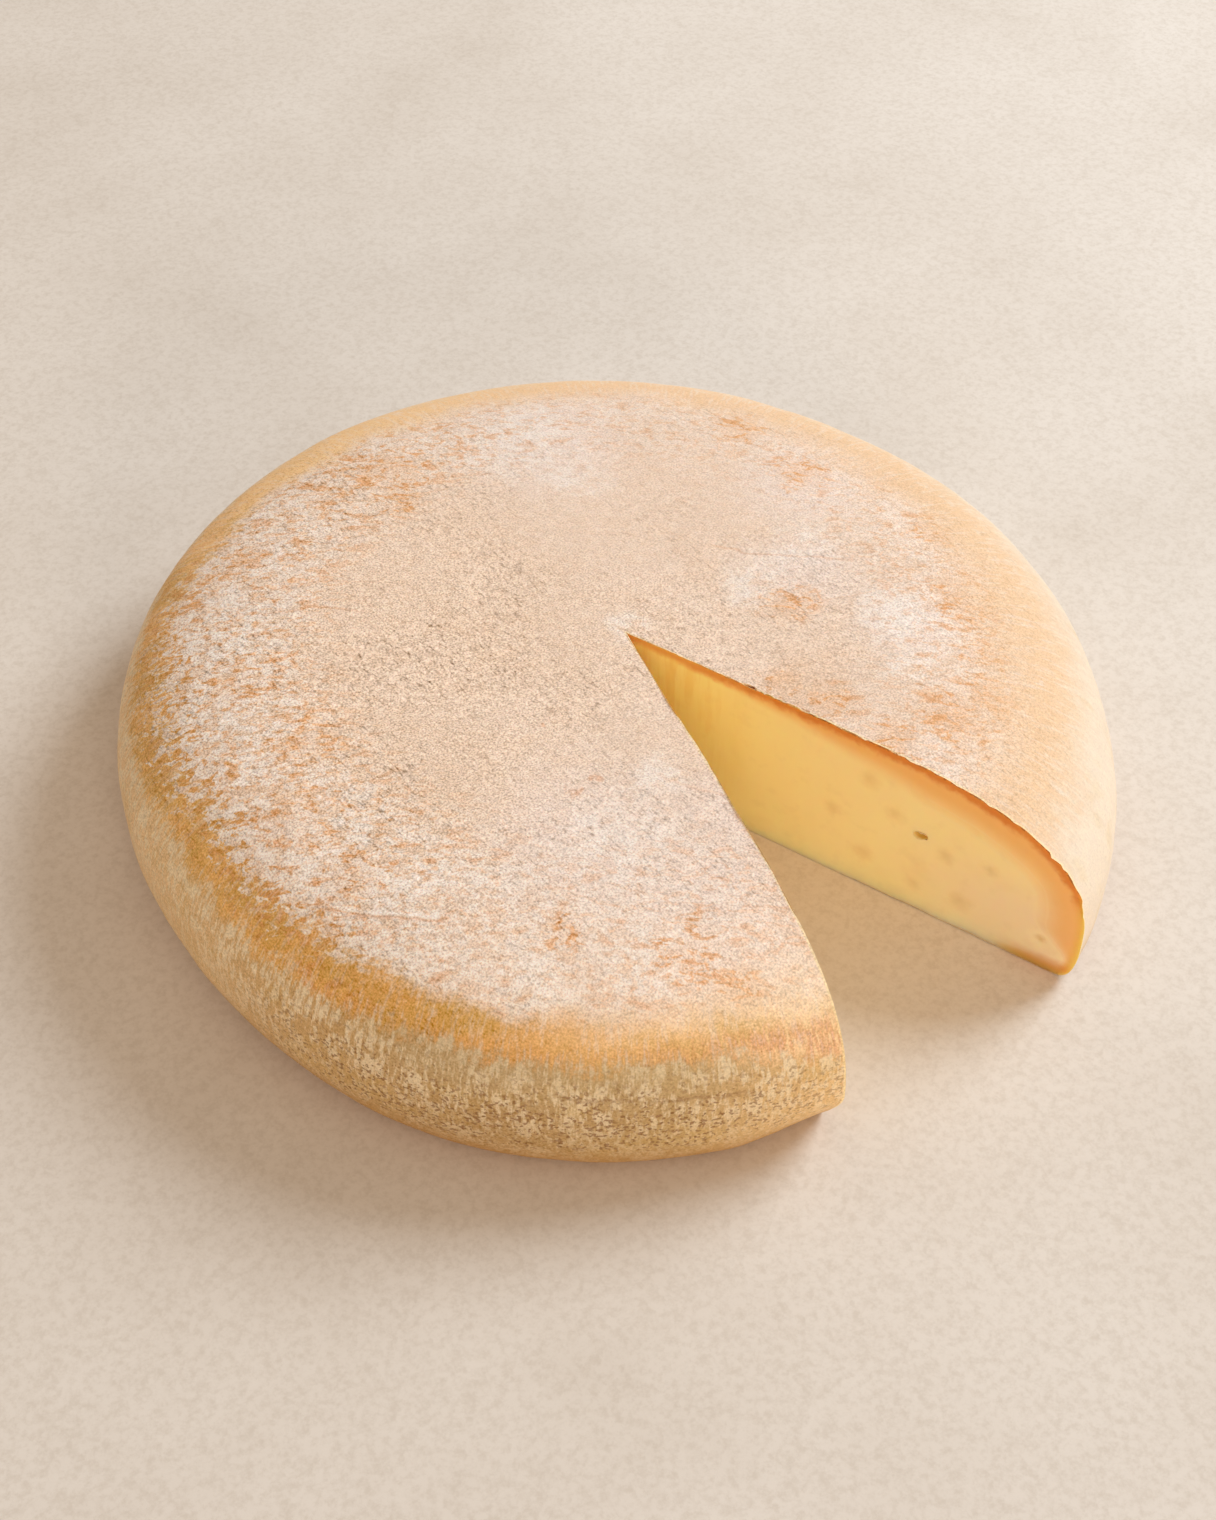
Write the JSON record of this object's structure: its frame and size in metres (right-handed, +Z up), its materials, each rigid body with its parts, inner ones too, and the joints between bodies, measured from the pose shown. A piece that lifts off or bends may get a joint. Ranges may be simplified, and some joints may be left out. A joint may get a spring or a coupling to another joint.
{
  "type": "reblochon cheese wheel with a wedge cut out",
  "caption": "Low, soft, washed-rind cheese wheel with rounded shoulders and one narrow wedge cut out down to the middle, showing the paste.",
  "frame": {"origin": "on the flat base that the wheel rests on, straight below the middle of its widest level", "axes": "+Z up, away from the base; -Y out through the middle of the cut-out wedge; the wheel's longer diameter along Y"},
  "size_m": [0.1366, 0.1404, 0.0274],
  "materials": {
    "cheese": "matte, velvety rind, slightly moist on the cut faces"
  },
  "bodies": {
    "root": {"cheese_wheel": "cheese"}
  },
  "joints": []
}
